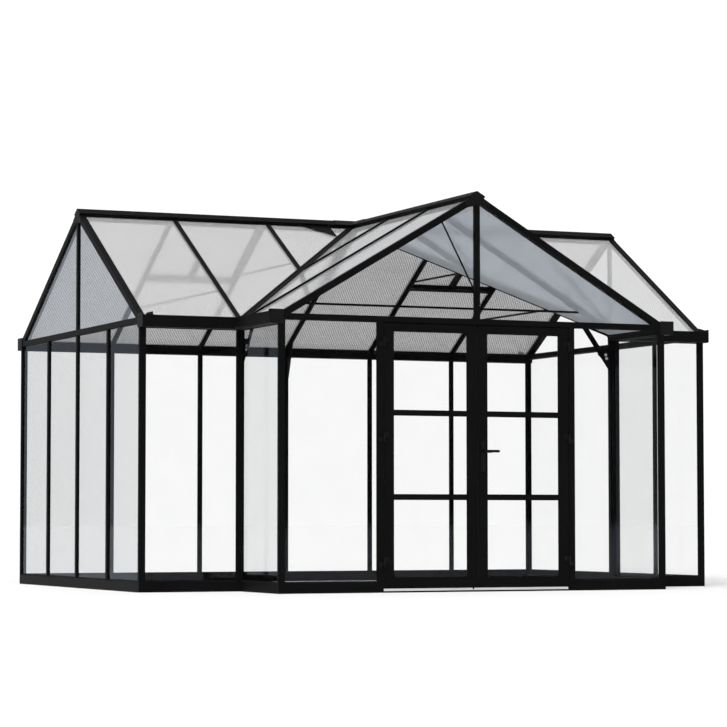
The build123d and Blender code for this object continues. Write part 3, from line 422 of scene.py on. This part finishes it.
frame_coat = powder_coat("frame_coat", (0.0024, 0.0024, 0.0026, 1.0), (0.0036, 0.0036, 0.0039, 1.0),
                         rough_low=0.5, rough_high=0.62, shine=0.06)
fittings_coat = powder_coat("fittings_coat", (0.003, 0.003, 0.0032, 1.0), (0.0045, 0.0045, 0.0048, 1.0),
                            rough_low=0.3, rough_high=0.4, shine=0.16, grain=1400.0)
moulded_black = powder_coat("moulded_black", (0.0035, 0.0035, 0.0037, 1.0), (0.005, 0.005, 0.0053, 1.0),
                            rough_low=0.5, rough_high=0.62, shine=0.12, grain=500.0)
rubber = powder_coat("rubber", (0.004, 0.004, 0.004, 1.0), (0.006, 0.006, 0.006, 1.0),
                     rough_low=0.6, rough_high=0.75, shine=0.05, grain=300.0)
# One clear sheet in two copies that differ only in reflection tone: dim on the walls, light and bluish on the
# gable panes, a painted reflection.
wall_sheet = clear_sheet("wall_sheet", mirror_tone=(0.24, 0.265, 0.30, 1.0))
gable_sheet_painted_reflection = clear_sheet("gable_sheet_painted_reflection", mirror_tone=(0.82, 0.90, 1.0, 1.0))
# The under tone is the painted shade of the sheet's underside dots; the light tone is the sheet's own.
roof_sheet = twin_wall("roof_sheet", under=(0.46, 0.455, 0.45, 1.0), light=(0.985, 0.98, 0.975, 1.0),
                       through=0.78, rough=0.05)
lining_sheet = veil("lining_sheet")
zinc = plated_steel("zinc")

finishes = {
    "black_frame": frame_coat,
    "black_fittings": fittings_coat,
    "black_plastic": moulded_black,
    "clear_sheet": wall_sheet,
    "twin_wall_sheet": roof_sheet,
}
slots = {entry["node"]: entry["material_slot"] for entry in frame["record"]["subparts"]}
for name, piece in cad_nodes.items():
    # The end gable panes take the copy with the painted, lighter and bluer reflection.
    finish = gable_sheet_painted_reflection if name == "end_gable_panes" else finishes[slots[name]]
    for index in range(len(piece.data.materials)):
        piece.data.materials[index] = finish


def pick(wanted):
    """Selects the faces of the piece in edit mode that are wanted."""
    bpy.ops.mesh.select_all(action="DESELECT")
    mesh = bmesh.from_edit_mesh(bpy.context.object.data)
    for face in mesh.faces:
        face.select_set(wanted(face))
    bmesh.update_edit_mesh(bpy.context.object.data)


def pick_corners(wanted):
    """Selects the corners of the piece in edit mode whose places are wanted."""
    bpy.ops.mesh.select_mode(type="VERT")
    bpy.ops.mesh.select_all(action="DESELECT")
    mesh = bmesh.from_edit_mesh(bpy.context.object.data)
    for corner in mesh.verts:
        corner.select_set(wanted(corner.co))
    mesh.select_flush(True)
    bmesh.update_edit_mesh(bpy.context.object.data)


def upwards(face):
    return face.normal.z > level_limit


def downwards(face):
    return face.normal.z < -level_limit


def into_edit(name, kind="FACE"):
    """Takes the primitive just added, with its size and place in its mesh, into edit mode."""
    bpy.ops.object.transform_apply(location=True, rotation=True, scale=True)
    piece = bpy.context.object
    piece.name = name
    bpy.ops.object.mode_set(mode="EDIT")
    bpy.ops.mesh.select_mode(type=kind)
    return piece


def box_start(name, low, high):
    deselect()
    middle = [(a + b) / 2 for a, b in zip(low, high)]
    size = [b - a for a, b in zip(low, high)]
    bpy.ops.mesh.primitive_cube_add(size=1, location=middle, scale=size)
    return into_edit(name)


def sheet_start(name, width, length, place):
    """A flat sheet, all of it selected in edit mode."""
    deselect()
    bpy.ops.mesh.primitive_plane_add(size=1)
    piece = into_edit(name)
    bpy.ops.transform.resize(value=(width, length, 1.0))
    bpy.ops.object.mode_set(mode="OBJECT")
    piece.data.transform(place)
    bpy.ops.object.mode_set(mode="EDIT")
    bpy.ops.mesh.select_all(action="SELECT")
    return piece


def raise_by(height):
    bpy.ops.mesh.extrude_region_move(TRANSFORM_OT_translate={"value": (0, 0, height)})


def cut(point, outwards, fill=False):
    """Cuts the piece in edit mode by a plane, and takes away what lies outwards of it."""
    bpy.ops.mesh.select_all(action="SELECT")
    bpy.ops.mesh.bisect(plane_co=point, plane_no=outwards, use_fill=fill, clear_outer=True)


def modify(piece, kind, **settings):
    modifier = piece.modifiers.new(kind.lower(), kind)
    for key, value in settings.items():
        setattr(modifier, key, value)
    bpy.context.view_layer.objects.active = piece
    bpy.ops.object.modifier_apply(modifier=modifier.name)


def thicken(piece, thickness, offset):
    """Gives a sheet in edit mode its thickness."""
    bpy.ops.object.mode_set(mode="OBJECT")
    modify(piece, "SOLIDIFY", thickness=thickness, offset=offset)
    bpy.ops.object.mode_set(mode="EDIT")


def close(piece, finish, rounding=rounding_width):
    """Leaves edit mode, rounds the edges and gives the piece its finish."""
    bpy.ops.object.mode_set(mode="OBJECT")
    if rounding:
        modify(piece, "BEVEL", width=rounding, segments=2, limit_method="ANGLE")
    bpy.ops.object.shade_smooth_by_angle(angle=radians(smooth_angle_deg))
    piece.data.materials.clear()
    piece.data.materials.append(finish)


def settle(piece, body):
    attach(piece, body)


def facing(point, way):
    """The place of a template that stands on a face: its foot at the point, its axis along the way out."""
    return Matrix.Translation(point) @ Vector(way).to_track_quat("Z", "Y").to_matrix().to_4x4()


def at_side(place, side):
    """A place or way of the left half, or its mirror image on the right."""
    return Vector((-side * place.x, place.y, place.z))


def mirrored(axis):
    """Mirrors across the middle, along an axis."""
    return Matrix.Scale(-1, 4, axis)


def copy_of(template, place):
    """A copy of a template with its own mesh."""
    copy = template.copy()
    copy.data = template.data.copy()
    copy.data.transform(place)
    if place.determinant() < 0:
        copy.data.flip_normals()
    bpy.context.collection.objects.link(copy)
    return copy


def join(pieces, name):
    """One piece made of several."""
    deselect()
    for piece in pieces:
        piece.select_set(True)
    bpy.context.view_layer.objects.active = pieces[0]
    if len(pieces) > 1:
        bpy.ops.object.join()
    pieces[0].name = name
    return pieces[0]


def copies(template, name, places, body):
    """One piece made of copies of a template, on a body."""
    settle(join([copy_of(template, place) for place in places], name), body)


def put_away(*templates):
    for template in templates:
        bpy.data.objects.remove(template)


def fastener(name, sizes, finish):
    """A round foot with a head on it and a socket in the head."""
    foot, head, height, socket, depth = sizes
    deselect()
    thickness = washer_share * height
    bpy.ops.mesh.primitive_cylinder_add(vertices=fastener_corners, radius=foot, depth=thickness,
                                        location=(0, 0, thickness / 2))
    piece = into_edit(name)
    pick(upwards)
    bpy.ops.mesh.inset(thickness=foot - head)
    raise_by(height)
    bpy.ops.mesh.inset(thickness=head - socket)
    raise_by(-depth)
    close(piece, finish, fastener_rounding)
    return piece


def lock_cylinder():
    """A pear-shaped lock cylinder: a round plug over a narrower lobe, with a keyway in the plug."""
    deselect()
    bpy.ops.mesh.primitive_circle_add(vertices=lock_corners, radius=lock_radius, fill_type="NGON")
    piece = into_edit("lock_cylinder", "EDGE")
    bpy.ops.mesh.select_all(action="DESELECT")
    mesh = bmesh.from_edit_mesh(piece.data)
    for edge in mesh.edges:
        edge.select_set(all(corner.co.y < -lobe_start_share * lock_radius for corner in edge.verts))
    bmesh.update_edit_mesh(piece.data)
    bpy.ops.mesh.extrude_region_move(TRANSFORM_OT_translate={"value": (0, -lock_lobe, 0)})
    bpy.ops.mesh.select_mode(type="FACE")
    bpy.ops.mesh.select_all(action="SELECT")
    bpy.ops.mesh.normals_make_consistent(inside=False)
    raise_by(lock_thickness)
    pick(lambda face: upwards(face) and len(face.verts) == lock_corners)
    bpy.ops.mesh.inset(thickness=plug_rim)
    raise_by(plug_step)
    bpy.ops.mesh.inset(thickness=keyway_inset)
    bpy.ops.transform.resize(value=(keyway_narrowing, 1.0, 1.0))
    raise_by(-keyway_depth)
    close(piece, fittings_coat, lock_rounding)
    return piece


def handle_rose():
    """A ring round the neck of the handle."""
    deselect()
    bpy.ops.mesh.primitive_circle_add(vertices=rose_corners, radius=rose_radius, fill_type="NGON")
    piece = into_edit("handle_rose")
    bpy.ops.mesh.select_all(action="SELECT")
    bpy.ops.mesh.inset(thickness=rose_ring)
    bpy.ops.mesh.delete(type="FACE")
    thicken(piece, rose_thickness, offset=1.0)
    close(piece, fittings_coat, rose_rounding)
    return piece


def handle_fittings(screw):
    """Lock cylinders, roses and screws on both sides of the handle plates."""
    lock = lock_cylinder()
    rose = handle_rose()
    sides = ((plate_low.y, forwards), (plate_high.y, backwards))
    screw_heights = (plate_low.z + plate_screw_inset, plate_high.z - plate_screw_inset)
    lock_height = handle_height - lock_drop
    copies(lock, "lock_cylinders", [facing((plate_x, y, lock_height), way) for y, way in sides],
           "right_door")
    copies(rose, "handle_roses", [facing((plate_x, y, handle_height), way) for y, way in sides],
           "right_door")
    copies(screw, "handle_plate_screws",
           [facing((plate_x, y, z), way) for y, way in sides for z in screw_heights],
           "right_door")
    put_away(lock, rose)


def hinge_screws(screw):
    """Screws in the hinge leaves: over the middle on the door, under it on the jamb."""
    face = front_y - hinge_plate_thickness
    leaf_height = leaf_high.z - leaf_low.z
    heights = [leaf_low.z + share * leaf_height for share in hinge_shares]
    for body, side in (("left_door", -1), ("right_door", 1)):
        copies(screw, body + "_hinge_screws",
               [facing((side * (hinge_x - reach), face, z + hinge_screw_offset), forwards)
                for z in heights for reach in hinge_screw_reaches], body)
    copies(screw, "jamb_hinge_screws",
           [facing((side * (hinge_x + reach), face, z - hinge_screw_offset), forwards)
            for side in (-1, 1) for z in heights for reach in hinge_screw_reaches],
           "house")


def door_fittings():
    screw = fastener("screw", screw_sizes, fittings_coat)
    handle_fittings(screw)
    hinge_screws(screw)
    put_away(screw)


def sheets_of(node):
    """The low and high corners of each separate sheet of a node."""
    mesh = bmesh.new()
    mesh.from_mesh(cad_nodes[node].data)
    bmesh.ops.remove_doubles(mesh, verts=mesh.verts, dist=merge_distance)
    unseen = set(mesh.verts)
    boxes = []
    while unseen:
        waiting = [unseen.pop()]
        places = []
        while waiting:
            corner = waiting.pop()
            places.append(corner.co.copy())
            joined = {edge.other_vert(corner) for edge in corner.link_edges} & unseen
            unseen -= joined
            waiting.extend(joined)
        low = Vector([min(place[axis] for place in places) for axis in range(3)])
        high = Vector([max(place[axis] for place in places) for axis in range(3)])
        boxes.append((low, high))
    mesh.free()
    return boxes


def bead(name, low, high):
    """A rubber bead round the outer side of an upright sheet, against the bars that hold it."""
    thin = 0 if high.x - low.x < high.y - low.y else 1
    wide = 1 - thin
    side = 1 if low[thin] > 0 else -1
    middle = (low + high) / 2
    middle[thin] = high[thin] if side > 0 else low[thin]
    way = Vector((0, 0, 0))
    way[thin] = side
    width = high[wide] - low[wide] - 2 * sheet_bite
    height = high.z - low.z - 2 * sheet_bite
    piece = sheet_start(name, width, height, facing(middle, way))
    bpy.ops.mesh.inset(thickness=bead_width)
    bpy.ops.mesh.delete(type="FACE")
    thicken(piece, bead_thickness, offset=1.0)
    close(piece, rubber, bead_rounding)
    return piece


def glazing_beads():
    walls = (("back_wall_panes", "house"), ("end_wall_panes", "house"), ("wing_front_panes", "house"),
             ("porch_side_panes", "house"), ("porch_front_panes", "house"),
             ("left_door_panes", "left_door"), ("right_door_panes", "right_door"))
    for node, body in walls:
        beads = [bead(node + "_bead", low, high) for low, high in sheets_of(node)]
        settle(join(beads, node + "_beads"), body)


def head_seal():
    """A rubber strip under the door header, close behind the leaves' top edges."""
    half_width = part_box("door_threshold")[1].x + seal_overlap
    start = leaf_high.y + seal_gap
    low = (-half_width, start, leaf_high.z - seal_lap)
    high = (half_width, start + seal_depth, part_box("door_header")[0].z)
    strip = box_start("head_seal", low, high)
    pick(downwards)
    bpy.ops.mesh.inset(thickness=seal_inset)
    raise_by(-seal_lip)
    bpy.ops.transform.resize(value=(1.0, seal_narrowing, 1.0))
    close(strip, rubber)
    settle(strip, "house")


def foot_bracket():
    """An angle bracket: one leg flat on the base rail, one up the back of a mullion, with a screw in each."""
    piece = box_start("foot_bracket", (-bracket_half_width, 0, 0),
                      (bracket_half_width, bracket_reach, bracket_thickness))
    bpy.ops.mesh.select_all(action="SELECT")
    bpy.ops.mesh.bisect(plane_co=(0, bracket_thickness, 0), plane_no=backwards)
    pick(lambda face: upwards(face) and face.calc_center_median().y < bracket_thickness)
    raise_by(bracket_height)
    close(piece, fittings_coat)
    screw = fastener("bracket_screw", screw_sizes, fittings_coat)
    on_rail = facing((0, bracket_screw_reach, bracket_thickness), skywards)
    on_mullion = facing((0, bracket_thickness, bracket_screw_height), backwards)
    bracket = join([piece, copy_of(screw, on_rail), copy_of(screw, on_mullion)], "foot_bracket")
    put_away(screw)
    return bracket


def mullion_feet():
    bracket = foot_bracket()
    places = []
    for step in range(1, long_bays):
        foot = Matrix.Translation((step * bay - half_length, back_y - wall_bar_depth, rail_top))
        places.append(foot @ Matrix.Rotation(pi, 4, "Z"))
    for side in (-1, 1):
        for step in range(1, end_bays):
            y = eave_y + step / end_bays * (back_y - eave_y)
            foot = Matrix.Translation((side * (half_length - wall_bar_depth), y, rail_top))
            places.append(foot @ Matrix.Rotation(side * pi / 2, 4, "Z"))
    copies(bracket, "mullion_feet", places, "house")
    put_away(bracket)


def knee_gussets():
    """Plates that close the lower corners of the knee plates' windows, and carry the bolts."""
    low = (gusset_start, gusset_foot, 0)
    high = (gusset_end, gusset_head, gusset_thickness)
    gusset = box_start("knee_gusset", low, high)
    cut(low, (knee_climb, -1, 0), fill=True)
    close(gusset, frame_coat)
    left = Matrix((valley_way, skywards, valley_across)).transposed().to_4x4()
    left.translation = valley_foot + knee_half_thickness * valley_across
    places = [left, mirrored((1, 0, 0)) @ left]
    copies(gusset, "knee_gussets", places, "house")
    put_away(gusset)


def knee_bolts():
    bolt = fastener("bright_bolt", bolt_sizes, zinc)
    face = knee_half_thickness + gusset_thickness
    places = []
    for side in (-1, 1):
        for along, height in knee_bolt_places:
            point = valley_foot + along * valley_way + face * valley_across + height * skywards
            places.append(facing(at_side(point, side), at_side(valley_across, side)))
    copies(bolt, "knee_bolts", places, "house")
    put_away(bolt)


def gable_plate_bolts():
    """Bolts in the plates at the tops of the three gables, under the rafters' top planes."""
    bolt = fastener("dark_bolt", flat_bolt_sizes, fittings_coat)
    front_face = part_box("ridge_end_caps")[0].y
    end_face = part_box("ridge_end_caps")[1].x
    places = []
    for reach in gable_bolt_reaches:
        porch_height = apex_height - gable_bolt_drop - reach * rise / half_porch
        main_height = apex_height - gable_bolt_drop - reach * rise / main_run
        for side in (-1, 1):
            places.append(facing((side * reach, front_face, porch_height), forwards))
            for end in (-1, 1):
                places.append(facing((end * end_face, ridge_y + side * reach, main_height), (end, 0, 0)))
    copies(bolt, "gable_plate_bolts", places, "house")
    put_away(bolt)


def porch_lining():
    """The inner skin of the porch roof, under its bars, from the gable back to the valleys."""
    width = (lining_foot - lining_head) / cos(porch_pitch)
    middle_x = (lining_foot + lining_head) / 2
    middle_y = front_y + lining_start + lining_length / 2
    drop = (roof_bar_depth + lining_gap) / cos(porch_pitch)
    middle_z = apex_height - middle_x * rise / half_porch - drop
    edge = valley_foot + lining_valley_gap * valley_across
    for name, side in (("porch_lining_left", -1), ("porch_lining_right", 1)):
        slope = Matrix.Rotation(side * porch_pitch, 4, "Y")
        place = Matrix.Translation((side * middle_x, middle_y, middle_z)) @ slope
        piece = sheet_start(name, width, lining_length, place)
        cut(at_side(edge, side), at_side(-valley_across, side))
        thicken(piece, lining_thickness, offset=-1.0)
        close(piece, lining_sheet, rounding=0.0)
        settle(piece, "house")


def valley_flashings():
    """Sheet-metal corner pieces where the front valleys run into the main ridge."""
    middle_z = eave_height + (flashing_y - eave_y) * rise / main_run + flashing_lift
    slope = Matrix.Rotation(main_pitch, 4, "X")
    edge = valley_foot - flashing_valley_gap * valley_across
    for name, side in (("valley_flashing_left", -1), ("valley_flashing_right", 1)):
        place = Matrix.Translation((side * flashing_x, flashing_y, middle_z)) @ slope
        piece = sheet_start(name, *flashing_size, place)
        cut(at_side(edge, side), at_side(valley_across, side))
        cut(at_side(flashing_tip, side), at_side(flashing_edge_out, side))
        cut((side * flashing_end, 0, 0), (-side, 0, 0))
        thicken(piece, flashing_thickness, offset=1.0)
        close(piece, frame_coat)
        settle(piece, "house")


def gutter_clip():
    """A spring clip over the lip of a gutter, with a tab that rises away from the corner."""
    low = (-clip_half_width, -lip_thickness, 0)
    high = (clip_half_width, clip_depth - lip_thickness, clip_foot)
    piece = box_start("gutter_clip", low, high)
    pick(upwards)
    bpy.ops.mesh.inset(thickness=clip_step)
    raise_by(tab_height)
    bpy.ops.transform.resize(value=tab_taper)
    pick_corners(lambda place: place.x > 0 and place.z > clip_foot + tab_height / 2)
    bpy.ops.transform.translate(value=(0, 0, tab_rise))
    close(piece, moulded_black)
    return piece


def gutter_clips():
    clip = gutter_clip()
    lip_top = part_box("eave_gutters_wings")[1].z
    wing_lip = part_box("eave_gutters_wings")[0].y
    back_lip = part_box("eave_gutter_back")[1].y
    clip_x = half_length - clip_from_end
    front = Matrix.Translation((-clip_x, wing_lip + lip_thickness, lip_top))
    back = Matrix.Translation((-clip_x, back_lip - lip_thickness, lip_top)) @ mirrored((0, 1, 0))
    other_end = mirrored((1, 0, 0))
    places = [front, other_end @ front, back, other_end @ back]
    copies(clip, "gutter_clips", places, "house")
    put_away(clip)


door_fittings()
glazing_beads()
head_seal()
mullion_feet()
knee_gussets()
knee_bolts()
gable_plate_bolts()
porch_lining()
valley_flashings()
gutter_clips()


def pale_floor():
    deselect()
    bpy.ops.mesh.primitive_plane_add(size=floor_size, location=(0, 0, 0))
    floor = bpy.context.object
    floor.name = "floor"
    material, tree, output = new_material("floor_paint")
    shader = principled(tree, output)
    shader.inputs["Base Color"].default_value = floor_tone
    shader.inputs["Roughness"].default_value = floor_roughness
    shader.inputs["Specular IOR Level"].default_value = floor_shine
    floor.data.materials.append(material)


def soft_lamp():
    deselect()
    bpy.ops.object.light_add(type="SUN", rotation=[radians(turn) for turn in sun_turn_deg])
    lamp = bpy.context.object
    lamp.name = "soft_lamp"
    lamp.data.energy = sun_strength
    lamp.data.angle = radians(sun_angle_deg)


def studio_room():
    """A white backdrop for the camera, and for reflections a grey room with a dark flag behind the camera."""
    world = bpy.data.worlds.new("studio")
    bpy.context.scene.world = world
    world.use_nodes = True
    tree = world.node_tree
    tree.nodes.clear()
    output = tree.nodes.new("ShaderNodeOutputWorld")
    way = tree.nodes.new("ShaderNodeTexCoord").outputs["Generated"]
    towards = tree.nodes.new("ShaderNodeVectorMath")
    towards.operation = "DOT_PRODUCT"
    towards.inputs[1].default_value = flag_way
    tree.links.new(way, towards.inputs[0])
    room = tree.nodes.new("ShaderNodeBackground")
    room_light = ramp(tree, towards.outputs["Value"], room_tone, flag_tone, flag_start, flag_full)
    tree.links.new(room_light, room.inputs["Color"])
    backdrop = tree.nodes.new("ShaderNodeBackground")
    backdrop.inputs["Color"].default_value = backdrop_tone
    path = tree.nodes.new("ShaderNodeLightPath")
    tree.links.new(path.outputs["Is Camera Ray"], mix_shaders(tree, output, room, backdrop))


def photo_camera():
    deselect()
    bpy.ops.object.camera_add(location=camera_place, rotation=[radians(turn) for turn in camera_turn_deg])
    camera = bpy.context.object
    camera.name = "photo_camera"
    camera.data.sensor_width = sensor_mm
    camera.data.lens = camera_lens_mm
    camera.data.clip_end = floor_size
    bpy.context.scene.camera = camera


bpy.context.scene.view_settings.view_transform = "Standard"
bpy.context.scene.cycles.transparent_max_bounces = sheet_faces_in_line
pale_floor()
studio_room()
soft_lamp()
photo_camera()
